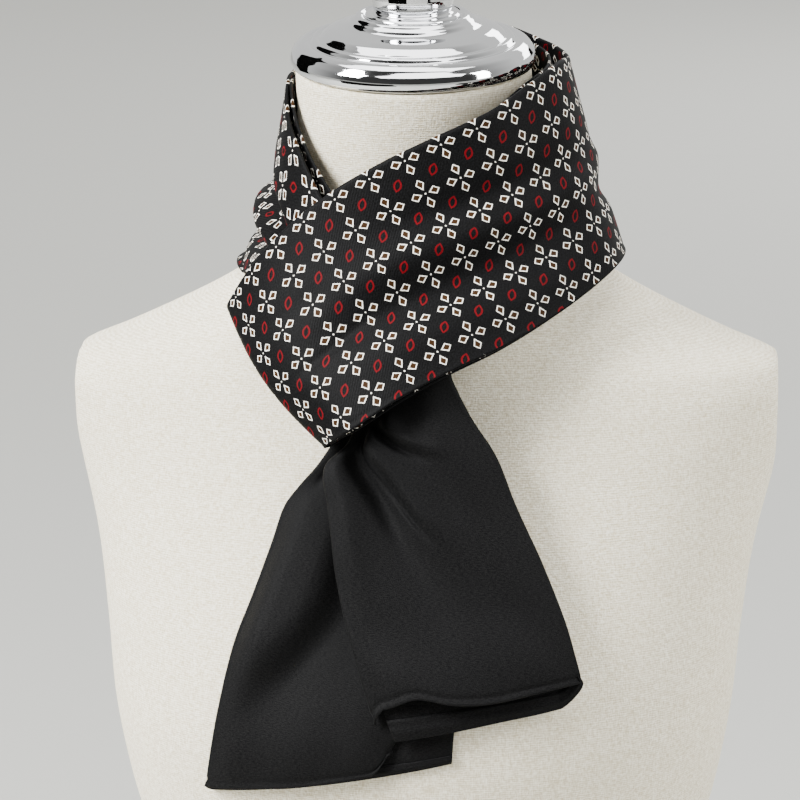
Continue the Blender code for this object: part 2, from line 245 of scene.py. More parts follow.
def formClearance(points):
    # distance outside the form and the way out of it, from the slope of the ellipse's own radius
    def reach(at):
        width, depth, middleX, middleY = formLevel(at[..., 2])
        return np.hypot((at[..., 0] - middleX) / width, (at[..., 1] - middleY) / depth) - 1

    steps = dressForm["slopeStep"] * np.eye(3)
    slope = np.stack([reach(points + step) - reach(points - step) for step in steps], -1)
    steepness = np.linalg.norm(slope, axis=-1, keepdims=True)
    return reach(points) / steepness[..., 0], slope / steepness


def standOff(points, least):
    # points nearer the form than least move out to it, in a few rounds
    for _ in range(dressForm["settleRounds"]):
        clearance, wayOut = formClearance(points)
        points = points + wayOut * np.maximum(least - clearance, 0)[..., None]
    return points


def formSurface():
    # height rises in even steps along the profile, angle goes round an ellipse of the level's width
    # and depth; a soft minimum then flattens both sides into armhole plates with rounded rims
    levels = np.array(dressForm["rows"], float)
    along = walkedLength(levels[:, :2])
    height = through(along, levels[:, :1], np.linspace(0, along[-1], dressForm["ringCount"]))[:, 0]
    turn = np.linspace(0, 2 * math.pi, dressForm["sideCount"], endpoint=False)
    width, depth, middleX, middleY = (part[:, None] for part in formLevel(height))
    x = middleX + width * np.sin(turn)
    past = (np.abs(x) - dressForm["armholeX"]) / dressForm["rimRound"]
    x = np.sign(x) * (np.abs(x) - dressForm["rimRound"] * np.logaddexp(0, past))
    y = middleY - depth * np.cos(turn)
    lean = math.radians(cap["lean"])
    leansFrom = dressForm["leansFrom"]
    share = np.clip((height - leansFrom) / (cap["height"] - leansFrom), 0, 1)[:, None]
    z = height[:, None] + y * math.tan(lean) * share
    z = z + share * (cap["underside"] - cap["seam"]) / math.cos(lean)
    body = np.stack([x, y, z], -1)
    low, high = body[:1].mean(1, keepdims=True), body[-1:].mean(1, keepdims=True)
    bottom = [low + (body[:1] - low) * part for part in reversed(dressForm["lidRings"])]
    lid = [high + (body[-1:] - high) * part for part in dressForm["lidRings"]]
    return np.concatenate([*bottom, body, *lid])


def turnedSurface(profile):
    # the profile is walked in short steps, its corners eased by a running mean with bell weights,
    # and turned about the cap's leaning axis
    profile = np.array(profile, float)
    along = walkedLength(profile)
    at = np.linspace(0, along[-1], cap["walkCount"])
    walked = np.stack([np.interp(at, along, profile[:, i]) for i in (0, 1)], -1)
    reach = cap["easeReach"]
    weights = bump(np.arange(-reach, reach + 1), 0, cap["easeWidth"])
    before, after = np.repeat(walked[:1], reach, 0), np.repeat(walked[-1:], reach, 0)
    padded = np.concatenate([before, walked, after])
    eased = sum(w * padded[i:i + len(walked)] for i, w in enumerate(weights / weights.sum()))
    eased[:, 0] = np.maximum(eased[:, 0], cap["axisRadius"])
    turn = np.linspace(0, 2 * math.pi, cap["stepCount"], endpoint=False)
    x = eased[:, :1] * np.sin(turn)
    y = -eased[:, :1] * np.cos(turn)
    z = np.repeat(eased[:, 1:], len(turn), 1)
    lean = math.radians(cap["lean"])
    y, z = y * math.cos(lean) - z * math.sin(lean), y * math.sin(lean) + z * math.cos(lean)
    return np.stack([x + cap["middleX"], y, z + cap["height"]], -1)[::-1]


outerPly = dict(
    # a section of the cloth a row: clock, radius and height of its top edge and of its low edge,
    # how far it sags inwards, depth of its creases, and its place along the scarf from the loop
    sections=(
        (-58, 99, 589, -17, 108, 533, -7, 0, 0),
        (-49.5, 94, 608.5, -9, 117, 544, -4, 0, 29.6),
        (-38, 86.5, 629, 2, 114, 559, -1, 0, 57.4),
        (-24, 79, 646, 14, 108, 570, 0, 0, 85.1),
        (-6, 74.5, 660.5, 28, 103, 578.5, 0, 0, 112.9),
        (13, 74, 672, 42.5, 101, 588, 0, 0, 140.6),
        (32.5, 75.5, 682.5, 57.5, 101, 597.5, 0, 0, 168.4),
        (52, 75, 694, 72.5, 103, 606, 0, 0, 196.1),
        (73, 74, 702, 88, 102, 609.5, 0, 0, 225.1),
        (98, 74, 701.5, 107, 98, 609, 0, 0, 260),
        (127, 76, 705, 132, 95, 608, -1, 0, 300),
        (160, 76, 713, 160, 94, 608, -1, 0, 344),
        (192, 72, 711, 188, 92, 606, 0, 1, 387),
        (222, 66, 703, 218, 91, 603, 1, 3, 429),
        (252, 61.5, 694, 245, 90, 600, 2, 5, 465),
        (276, 60.5, 688, 270, 84, 598, 3, 6, 495),
        (293, 62.5, 675, 284, 83, 599, 3, 6, 515),
        (310, 65, 660, 297, 84, 601, 2, 5, 534),
        (326, 69, 642, 308, 87, 600, 1, 4, 552),
        (345, 79, 617, 320, 91, 587, 0, 3, 576),
        (360, 88, 595, 331, 94, 572, 0, 2, 599),
        (374, 99, 577, 347, 98, 549, 0, 0, 628),
    ),
    width=101.0,
    rowCount=270,
    columnCount=74,
    starts=2.5,  # place along the scarf of the first row
    bandThick=3.8,  # over both layers, in front
    armThick=1.9,  # and past the band
    wall=0.55,
    least=5.0,  # it lies no nearer the form
    threadAndShadeStrips=1,  # columns at each long edge that carry no print: black, partly hem thread and partly painted shade under the edge
    # the turn at the loop's fold: its radius, angle and steps, how far the flap behind it runs on
    # at the top and low edges, and the flap's rows as shares of that
    loop=dict(radius=5.0, angle=128, stepCount=12, flapReach=(7.5, 2.5), flapRows=(0.5, 1.0)),
    # soft troughs: place along where each starts and ends, share across where it starts and ends,
    # depth inwards (a swell's is negative) and half width as a share
    troughs=(
        (30, 215, 0.585, 0.7, 4.4, 0.1),
        (95, 240, 0.27, 0.5, 2.6, 0.09),
        (60, 215, 0.42, 0.55, -2.0, 0.09),
        (55, 190, 0.8, 0.86, -1.4, 0.08),
        (18, 70, 0.64, 0.585, 1.0, 0.028),
        (10, 60, 0.3, 0.38, 0.7, 0.06),
        (205, 350, 0.64, 0.82, 3.4, 0.07),
        (215, 360, 0.48, 0.66, -1.8, 0.06),
        (250, 420, 0.42, 0.22, 3.2, 0.07),
        (330, 500, 0.6, 0.42, 3.2, 0.05),
        (345, 470, 0.5, 0.32, -2.0, 0.05),
        (390, 520, 0.88, 0.76, 2.2, 0.04),
    ),
)
innerPly = dict(
    sections=(
        (-56, 82, 592, -13.5, 88, 542, 0, 0, 0),
        (-48, 70, 605, -7, 79, 552, 0, 0, 18),
        (-37, 61, 620, 0, 77, 560, 0, 0, 36),
        (-26, 57, 634, 9, 78, 568, 0, 0, 54),
        (-8, 57, 648, 22, 84, 577, 0, 0, 78),
        (16, 58, 664, 42, 90, 587, 0, 0, 106),
        (40, 60, 679, 60, 92, 596, 0, 0, 134),
        (64, 62, 692, 80, 93, 602, 0, 0, 163),
        (88, 64.5, 697.5, 94, 91, 604, 0, 0, 191),
        (116, 67, 702, 120, 88, 604, 0, 0, 226),
        (160, 69, 707, 160, 87, 603, 0, 0, 282),
        (195, 65, 705, 190, 85, 601, 0, 0, 323),
        (225, 61, 698, 220, 84, 598, 3, 0, 362),
        (252, 59, 690, 245, 83.5, 595, 6, 0, 394),
        (280, 59, 686, 272, 80, 595, 11, 0, 427),
        (302, 60, 667, 288, 80, 596, 11, 0, 452),
        (316, 61.5, 654, 299, 81, 597, 9, 0, 469),
        (328, 64, 643, 309, 81, 595, 6, 0, 484),
        (345, 71, 619, 321, 84, 585, 3, 0, 508),
        (360, 80, 597, 332, 87, 570, 1, 0, 532),
        (374, 91, 579, 347, 90, 551, 0, 0, 560),
    ),
    width=98.0,
    rowCount=200,
    columnCount=48,
    starts=0.6,
    bandThick=1.4,
    armThick=1.4,
    wall=0.4,
    least=2.2,
    # unprinted edge columns, partly hem thread and partly painted shade under the edge
    threadAndShadeStrips=3,
    loop=None,
    troughs=((60, 200, 0.4, 0.5, 1.2, 0.12), (230, 400, 0.5, 0.36, 1.0, 0.1)),
)
plyLie = dict(
    # what both plies share: lengthwise creases as share across, half width and depth; the low hem's
    # roll and the pressed line above it as distance from the hem, half width and depth
    creases=((0.535, 0.065, 1.0), (0.665, 0.07, -0.6), (0.79, 0.055, 1.0)),
    hemLines=((0.3, 0.8, -0.3), (2.6, 0.6, 0.22)),
    troughFade=(-0.12, 0.3, 0.65, 1.1),  # share of a trough's length
    bandEnds=(190, 250),  # place along the scarf over which its thickness changes
    turnSteps=11,
)


def onClock(degrees, radius, height):
    # a point round the neck's axis: x from the clock's sine, y from minus its cosine
    turn = np.radians(degrees)
    return np.stack([cap["middleX"] + radius * np.sin(turn), -radius * np.cos(turn), height], -1)


def plyFace(ply):
    # straight lines from the top edge to the low edge of each section, sagged as half a sine,
    # creased by bells across the cloth, its low hem a thin roll, then held off the form
    sections = np.array(ply["sections"], float)
    place = sections[:, 8]
    at = np.linspace(ply["starts"], place[-1], ply["rowCount"])
    read = through(place, sections[:, :8], at)
    top = onClock(read[:, 0], read[:, 1], read[:, 2])[:, None]
    low = onClock(read[:, 3], read[:, 4], read[:, 5])[:, None]
    across = np.linspace(ply["bandThick"] / 2 / ply["width"], 1, ply["columnCount"])
    face = top + (low - top) * across[None, :, None]
    sags, creaseDepths = read[:, 6, None], read[:, 7, None]
    folds = sum(depth * bump(across, *bell) for *bell, depth in plyLie["creases"])
    inwards = sags * np.sin(math.pi * across)[None] + creaseDepths * folds[None]
    inwards = inwards + troughDepth(ply["troughs"], at[:, None], across[None])
    fromHem = (1 - across[None]) * ply["width"]
    inwards = inwards + sum(depth * bump(fromHem, *bell) for *bell, depth in plyLie["hemLines"])
    face = standOff(face - outward(face) * inwards[..., None], ply["least"])
    return at, face


def troughDepth(table, along, across):
    # each row is a bell across the cloth whose middle drifts in a straight line from one end of the
    # trough to the other, and which fades in and out along it
    total = 0
    for start, end, startAcross, endAcross, depth, halfWidth in table:
        share = (along - start) / (end - start)
        middle = startAcross + (endAcross - startAcross) * share
        fade = fadeBetween(share, *plyLie["troughFade"])
        total = total + depth * fade * bump(across, middle, halfWidth)
    return total


def loopTurn(loop, face, normal, at, thick):
    # before the first row the cloth turns back on an arc of the loop's radius and runs on inwards
    # as a flap; rows are made from the arc's start to the flap's end, then put in front
    radius, last = loop["radius"], math.radians(loop["angle"])
    away = unit(face[0] - face[1])
    rows, normals, places = [], [], []
    for a in np.linspace(0, last, loop["stepCount"])[1:]:
        rows.append(face[0] + radius * (away * math.sin(a) - normal[0] * (1 - math.cos(a))))
        normals.append(unit(normal[0] * math.cos(a) + away * math.sin(a)))
        places.append(at[0] - radius * a)
    heading = away * math.cos(last) - normal[0] * math.sin(last)
    reach = np.linspace(*loop["flapReach"], face.shape[1])[:, None]
    arcEnd, arcPlace = rows[-1], places[-1]
    for part in loop["flapRows"]:
        rows.append(arcEnd + heading * reach * part)
        normals.append(normals[-1])
        places.append(arcPlace - loop["flapReach"][0] * part)
    face = np.concatenate([np.stack(rows[::-1]), face])
    normal = np.concatenate([np.stack(normals[::-1]), normal])
    at = np.concatenate([places[::-1], at])
    thick = np.concatenate([np.full(len(rows), thick[0]), thick])
    return face, normal, at, thick


def foldedPly(ply):
    # the face, a half round turn over its top edge, and the second layer behind it
    at, face = plyFace(ply)
    normal = outward(face)
    thinner = (ply["armThick"] - ply["bandThick"]) * smoothStep(at, *plyLie["bandEnds"])
    thick = ply["bandThick"] + thinner
    if ply["loop"]:
        face, normal, at, thick = loopTurn(ply["loop"], face, normal, at, thick)
    half = thick[:, None] / 2
    top, topNormal, up = face[:, 0], normal[:, 0], unit(face[:, 0] - face[:, 1])
    turn = [
        (top - topNormal * half * (1 - math.cos(a)) + up * half * math.sin(a))[:, None]
        for a in np.linspace(math.pi, 0, plyLie["turnSteps"])[1:-1]
    ]
    back = face - normal * thick[:, None, None]
    grid = np.concatenate([back[:, ::-1], *turn, face], 1)
    # the print's place across the cloth is the length walked over it from the folded edge
    walked = np.linalg.norm(np.diff(grid, axis=1), axis=-1)
    v = np.concatenate([0 * walked[:, :1], np.cumsum(walked, 1)], 1)
    v = v - v[:, -face.shape[1]][:, None] + half
    uv = np.stack([np.repeat(at[:, None], v.shape[1], 1), v], -1)
    return grid, uv


def hemThreadAndShade(grid, strips):
    # 1 on the strips of cloth next to the two long free edges, 0 elsewhere; these strips lose their
    # print and show black, partly as hem thread and partly as painted shade under the hem
    share = np.zeros(grid.shape[:2])
    share[:, :strips] = share[:, -strips:] = 1
    return share


tailRight = dict(
    # x, height and standing off of the front layer's free edge, of the turn and of the back layer's
    # free edge, then the puff of the layers and how far the turn drops behind
    rows=(
        (-22, 541.5, 21.5, 17.5, 567.1, 30, -21, 541.5, 17, 0, 0),
        (-25.5, 529, 20.5, 18, 559, 29, -24.5, 529, 15.5, 1, 0),
        (-34.5, 517, 21, 26, 542, 26, -33, 516, 16, 3.5, 0),
        (-33, 499, 19, 39, 522, 22, -31, 498, 14, 4, 0),
        (-31, 485, 17, 48, 501, 18, -28, 482, 12, 4, 0.5),
        (-29, 471, 15.5, 60, 477, 15, -24, 466, 11, 3, 1),
        (-24, 450, 14, 69.5, 455, 13, -17, 443, 9.5, 2, 1.5),
        (-16, 428, 13, 77, 436, 11, -8, 418, 8, 1, 2.5),
        (-11, 417, 13, 80, 427, 10, -2, 404, 8, 0, 3),
    ),
    turnSide=1,  # the turn is at the right
    thick=5.0,
    wall=0.55,
    curl=2.2,  # radius of the free edge's curl
    rampShare=0.3,  # the layer swells out over this share from its turn
    rowCount=150,
    columnCount=108,
    hemDepth=9,
    hemThick=1.3,
    # the long valley: share of the length, its middle from the left and its depth
    valley=((0, 0.1, 2), (0.1, 0.12, 4.6), (0.19, 0.19, 8), (0.25, 0.24, 9), (0.32, 0.28, 9),
            (0.4, 0.31, 7.6), (0.5, 0.34, 5), (0.6, 0.38, 2.8), (0.75, 0.44, 1.4), (1, 0.5, 0)),
    valleySoft=0.1,  # half width of its wall at the left
    valleySharp=0.05,  # and at the right
    valleyBlend=0.01,  # over this share one becomes the other
    shelf=0.8,  # the cloth left of it stands out by this
    backRoom=0.0,  # share of the valley's depth that the back layer gives way by
    # folds outwards: height, middle from the left and its drift down the tail, half width and its
    # growth, then where it fades in and out. A ridge down the left edge, one that fans out right of
    # the valley, a short pleat at the knot with its crease, and a long crease with its lip
    folds=(
        (3.0, 0.08, 0, 0.08, 0, (0.04, 0.2, 0.4, 0.85)),
        (2.6, 0.24, 0.62, 0.08, 0.14, (0.04, 0.2, 0.4, 0.85)),
        (3.2, 0.19, 1.9, 0.07, 0, (0.05, 0.14, 0.19, 0.3)),
        (-3.52, 0.1, 1.9, 0.04, 0, (0.05, 0.14, 0.19, 0.3)),
        (-2.6, 0.1, 0.78, 0.018, 0, (0.06, 0.14, 0.42, 0.56)),
        (1.2, 0.16, 0.78, 0.04, 0, (0.06, 0.14, 0.42, 0.56)),
    ),
    # mounds and dips: height, middle and half width across, middle and half width down
    mounds=(
        (2.4, 0.84, 0.17, 0.22, 0.12),
        (-1.6, 0.62, 0.2, 0.62, 0.2),
        (1.4, 0.8, 0.12, 0.42, 0.2),
    ),
    hemWave=1.5,
    # at the hem: curl's radius and angle, how far its end hangs lower, how far the back layer's
    # turn hangs lower and stands in, how far the front layer stands out, the hem's rise and sag,
    # and how far its corner is rounded upwards
    hem=dict(curl=3.8, angle=98, curlDrop=7, turnDrop=8, turnIn=8, lift=5.5, rise=3.6, sag=2.0,
             corner=0),
)
tailLeft = dict(
    rows=(
        (16, 572.6, 22.5, -28, 544.6, 14.2, 16, 570, 18, 0, 0),
        (17, 562, 20, -32, 532, 15, 18, 560, 15, 0, 0),
        (20, 545, 15, -40, 519, 13.5, 23, 543, 10.5, 0, 0),
        (22, 525, 11, -49, 509, 11, 28, 523, 7, 0, 0),
        (21, 500, 8.5, -56, 500, 9, 31, 500, 4.5, 0, 0),
        (17, 475, 7, -62, 484, 6.5, 31, 475, 3, 1.5, 0),
        (11, 450, 6.5, -70, 462, 5.5, 29, 450, 2, 2, 0),
        (5, 428, 6, -78, 440, 5.5, 26, 428, 1.6, 2, 0),
        (0, 405, 5.5, -85, 410, 5.5, 24, 409, 1.5, 1, 0),
        (-4, 389, 5.5, -92, 372, 5.5, 23, 393, 1.5, 0, 0),
    ),
    turnSide=-1,
    thick=4.0,
    wall=0.55,
    curl=1.3,
    rampShare=0.16,
    rowCount=150,
    columnCount=84,
    hemDepth=9,
    hemThick=1.1,
    valley=((0, 0.5, 0), (0.3, 0.56, 3.2), (0.46, 0.55, 5.8), (0.59, 0.53, 6.2), (0.69, 0.44, 5.4),
            (0.76, 0.35, 4), (0.83, 0.27, 2), (0.92, 0.18, 0), (1, 0.1, 0)),
    valleySoft=0.17,
    valleySharp=0.34,
    valleyBlend=0.2,
    shelf=5.2,
    backRoom=0.9,
    # a low swell below the valley, which never fades out, and a dip at the knot
    folds=((0.5, 0.55, 0, 0.25, 0, (0.74, 0.9, 2, 3)),),
    mounds=((-1.4, 0.12, 0.05, 0.2, 0.06),),
    hemWave=0,
    hem=dict(curl=2.2, angle=110, curlDrop=-2, turnDrop=3.4, turnIn=0, lift=1.4, rise=0, sag=0.8,
             corner=7.4),
)
tailLie = dict(
    # what both tails share, as shares across from the left or down the tail
    hemFrom=0.72,  # the hem's own shape sets in here
    edgeAngle=150,  # degrees that the free edge curls back by, above the hem
    curlSteps=11,
    turnSteps=13,
    valleyWidens=0.12,
    shelfWidth=0.26,
    shelfFade=(0.15, 0.42, 0.66, 0.9),
    riseAt=(0.17, 0.12),
    sagAt=(0.55, 0.2),
    cornerShare=0.1,
    cornerEase=2.2,
    backFollows=0.8,  # share of the front layer's folds that the back layer takes
    roomWidth=0.4,
    leastOff=0.7,  # the back layer stands off the form by this, or by its turn where that is less
    liftEase=4,
    waveFrom=0.78,
    waveHalves=(2.1, 0.1),  # half turns of the hem's wave across the tail, and before it
    wrinkle=0.22,
    wrinkleFade=(0.2, 0.5),
    # radians across and down, then how far the phase drifts and the radians of that drift
    wrinkleSines=((17, 9, 2, 5), (11, -21, 1.5, 7)),
    # the turned edge stands proud as a thin roll, with a pressed line above it: distance from the
    # edge, half width and height
    hemLines=((0.3, 0.9, 0.45), (2.6, 0.8, -0.6)),
    hemTurnSteps=9,
)


def laid(flat):
    # feet on the front of the form's ellipse at x and height, pushed out along the form's way out
    x, height, off = np.moveaxis(flat, -1, 0)
    width, depth, middleX, middleY = formLevel(height)
    y = middleY - depth * np.sqrt(1 - ((x - middleX) / width) ** 2)
    feet = np.stack([x, y, height], -1)
    return feet + formClearance(feet)[1] * off[..., None]


def tailSwells(tail, down, fromLeft):
    # outwards: folds are bells across the tail that drift and widen down it, mounds are bells both
    # ways, the hem's slow wave is a sine across, and the wrinkles are faint and slanting, two
    # crossed sines whose phases drift, the first one's down the tail and the second one's across
    total = 0
    for height, middle, drift, halfWidth, growth, fade in tail["folds"]:
        bell = bump(fromLeft, middle + drift * down, halfWidth + growth * down)
        total = total + height * bell * fadeBetween(down, *fade)
    for height, across, halfWidth, place, halfLength in tail["mounds"]:
        total = total + height * bump(fromLeft, across, halfWidth) * bump(down, place, halfLength)
    halves, before = tailLie["waveHalves"]
    wave = np.sin(math.pi * (fromLeft * halves + before)) * smoothStep(down, tailLie["waveFrom"], 1)
    sines = 0
    for (across, along, drift, turns), way in zip(tailLie["wrinkleSines"], (down, fromLeft)):
        sines = sines + np.sin(across * fromLeft + along * down + drift * np.sin(turns * way))
    wrinkles = tailLie["wrinkle"] * sines * smoothStep(down, *tailLie["wrinkleFade"])
    return total + tail["hemWave"] * wave + wrinkles


def valleyAndShelf(tail, down, fromLeft):
    # the valley's middle and depth run on a curve down the tail; its left wall is a soft bell and
    # its right wall a sharper one, and the shelf is the cloth that stands out left of it
    lie = np.array(tail["valley"], float)
    middle, depth = through(lie[:, 0], lie[:, 1:], down[:, 0]).T[..., None]
    blend, soft = tail["valleyBlend"], tail["valleySoft"]
    pastMiddle = smoothStep(fromLeft - middle, -blend, blend)
    sharp = tail["valleySharp"] + tailLie["valleyWidens"] * down
    valley = depth * bump(fromLeft, middle, soft + (sharp - soft) * pastMiddle)
    shelf = tail["shelf"] * (1 - smoothStep(fromLeft, middle - tailLie["shelfWidth"], middle))
    shelf = shelf * fadeBetween(down, *tailLie["shelfFade"])
    room = tail["backRoom"] * depth * bump(fromLeft, middle, tailLie["roomWidth"])
    return shelf - valley, room


def tailSheet(tail):
    # front layer, turn and back layer as one grid of x, height and standing off; each layer is a
    # straight blend of its two edges with the puff, valley, shelf and swells added; the back layer
    # takes a share of them, gives way under the valley and stays off the form; the front layer's
    # free edge curls back on an arc, its lower corner is rounded, and the hem turns under
    rows = np.array(tail["rows"], float)
    along = walkedLength((rows[:, 0:3] + rows[:, 3:6]) / 2)
    places = np.linspace(0, along[-1], tail["rowCount"])
    read = through(along, rows, places)
    side, radius, hem = tail["turnSide"], tail["thick"] / 2, tail["hem"]
    down = (places / places[-1])[:, None]
    low = smoothStep(down[:, 0], tailLie["hemFrom"], 1)
    curl = tail["curl"] + (hem["curl"] - tail["curl"]) * low
    free, turn, backFree = read[:, 0:3].copy(), read[:, 3:6].copy(), read[:, 6:9]
    puffs, drops = read[:, 9, None], read[:, 10]
    drop, inset = drops + hem["turnDrop"] * low**2, hem["turnIn"] * low**2
    free[:, 0] += side * curl
    turn[:, 0] -= side * radius
    backTurn = turn - np.stack([side * inset, drop, 0 * drop + tail["thick"]], -1)
    share = np.linspace(0, 1, tail["columnCount"])
    front = turn[:, None] + (free - turn)[:, None] * share[None, :, None]
    back = backTurn[:, None] + (backFree - backTurn)[:, None] * share[None, :, None]
    fromLeft = (1 - share if side > 0 else share)[None]
    ramp = np.sin(np.clip(share / tail["rampShare"], 0, 1) * math.pi / 2)[None]
    lie, room = valleyAndShelf(tail, down, fromLeft)
    fold = (tailSwells(tail, down, fromLeft) + lie) * ramp
    puff = puffs * ramp
    lift = hem["lift"] * low[:, None] * ramp * (1 - share[None] ** tailLie["liftEase"])
    front[..., 2] += puff + fold + lift
    rise = hem["rise"] * bump(fromLeft, *tailLie["riseAt"])
    sag = hem["sag"] * bump(fromLeft, *tailLie["sagAt"])
    toCorner = np.clip(1 - (1 - share) / tailLie["cornerShare"], 0, 1)[None]
    corner = hem["corner"] * toCorner ** tailLie["cornerEase"]
    front[..., 1] += low[:, None] * (rise - sag) + low[:, None] ** 2 * corner
    back[..., 2] += puff + fold * tailLie["backFollows"] - room
    least = np.minimum(tailLie["leastOff"], backTurn[:, None, 2])
    back[..., 2] = np.maximum(back[..., 2], least)
    bend = []
    for a in np.linspace(math.pi, 0, tailLie["turnSteps"])[1:-1]:
        part = (1 - math.cos(a)) / 2
        aside = side * (radius * math.sin(a) - inset * part)
        shift = np.stack([aside, -drop * part, 0 * drop - 2 * radius * part], -1)
        bend.append((turn + shift)[:, None])
    angle = tailLie["edgeAngle"] + (hem["angle"] - tailLie["edgeAngle"]) * low
    curled = []
    for part in np.linspace(0, 1, tailLie["curlSteps"])[1:]:
        a = np.radians(angle) * part
        lower = -hem["curlDrop"] * low**2 * part
        shift = np.stack([-side * curl * np.sin(a), lower, -curl * (1 - np.cos(a))], -1)
        curled.append((front[:, -1] + shift)[:, None])
    flat = np.concatenate([back[:, ::-1], *bend, front, *curled], 1)
    if side < 0:
        flat = flat[:, ::-1]
    return hemmed(tail, laid(flat), places)


def hemmed(tail, sheet, places):
    # under the last row the cloth turns a half round of the hem's thickness and runs back up inside
    normal = outward(sheet)
    down = unit(sheet[-1] - sheet[-3])
    radius = tail["hemThick"] / 2
    toEdge = (places[-1] - places)[:, None, None]
    proud = sum(height * bump(toEdge, *bell) for *bell, height in tailLie["hemLines"])
    sheet = sheet + normal * proud
    rows = [
        sheet[-1] - normal[-1] * radius * (1 - math.cos(a)) + down * radius * math.sin(a)
        for a in np.linspace(0, math.pi, tailLie["hemTurnSteps"])[1:]
    ]
    step = np.linalg.norm(sheet[-1] - sheet[-2], axis=-1).mean()
    count = int(tail["hemDepth"] / step)
    rows += [sheet[-1 - i] - normal[-1 - i] * tail["hemThick"] for i in range(1, count)]
    grid = np.concatenate([sheet, np.stack(rows)])
    v = walkedLength(sheet[len(sheet) // 2])
    u = np.concatenate([places, places[-1] + np.arange(1, len(rows) + 1) * step])
    uv = np.stack([np.repeat(u[:, None], len(v), 1), np.repeat(v[None], len(u), 0)], -1)
    return grid, uv


printChart = dict(
    # millimetres on the cloth: u runs along the scarf, v across it from its folded top edge. A
    # flower of four kite-shaped petals and a dot sits in each repeat, an oval ring between four
    alongRepeat=18.5,
    acrossRepeat=17.6,
    alongPhase=0.6,
    acrossPhase=0.25,
    cellShift=40.5,  # whole repeats keep the places positive, the half one centres the flower
    petalInner=1.75,
    petalMiddle=5.0,
    petalOuter=7.35,
    petalHalf=2.16,
    petalBorder=0.62,
    dotRadius=0.4,
    ovalHalfLong=3.3,
    ovalHalfWide=1.95,
    ovalLine=0.86,
    ovalTipLine=0.946,
    ovalAlong=0.68,  # the ring's long axis, as a unit vector on the cloth
    ovalAcross=-0.733,
    raggedScale=1.3,
    ragged=0.36,  # how far the ink's edge wavers
    threadAndShadeLimit=0.45,  # the print ends where the hem's attribute passes this, leaving a black edge that is partly hem thread and partly painted shade
    ground="#010101",
    # painted thread glints: lighter specks on the black ground
    groundGlint="#0f0f10",
    ivory="#fbf7ec",
    brown="#301c07",
    red="#600009",
    grainScale=1.3,
    grainRange=(0.38, 0.66),
    weaveScale=0.38,
    relief=(0.16, 0.0004),
    finish=dict(Roughness=0.6, Specular_IOR_Level=0.06, Sheen_Weight=0.01, Sheen_Roughness=0.4),
)


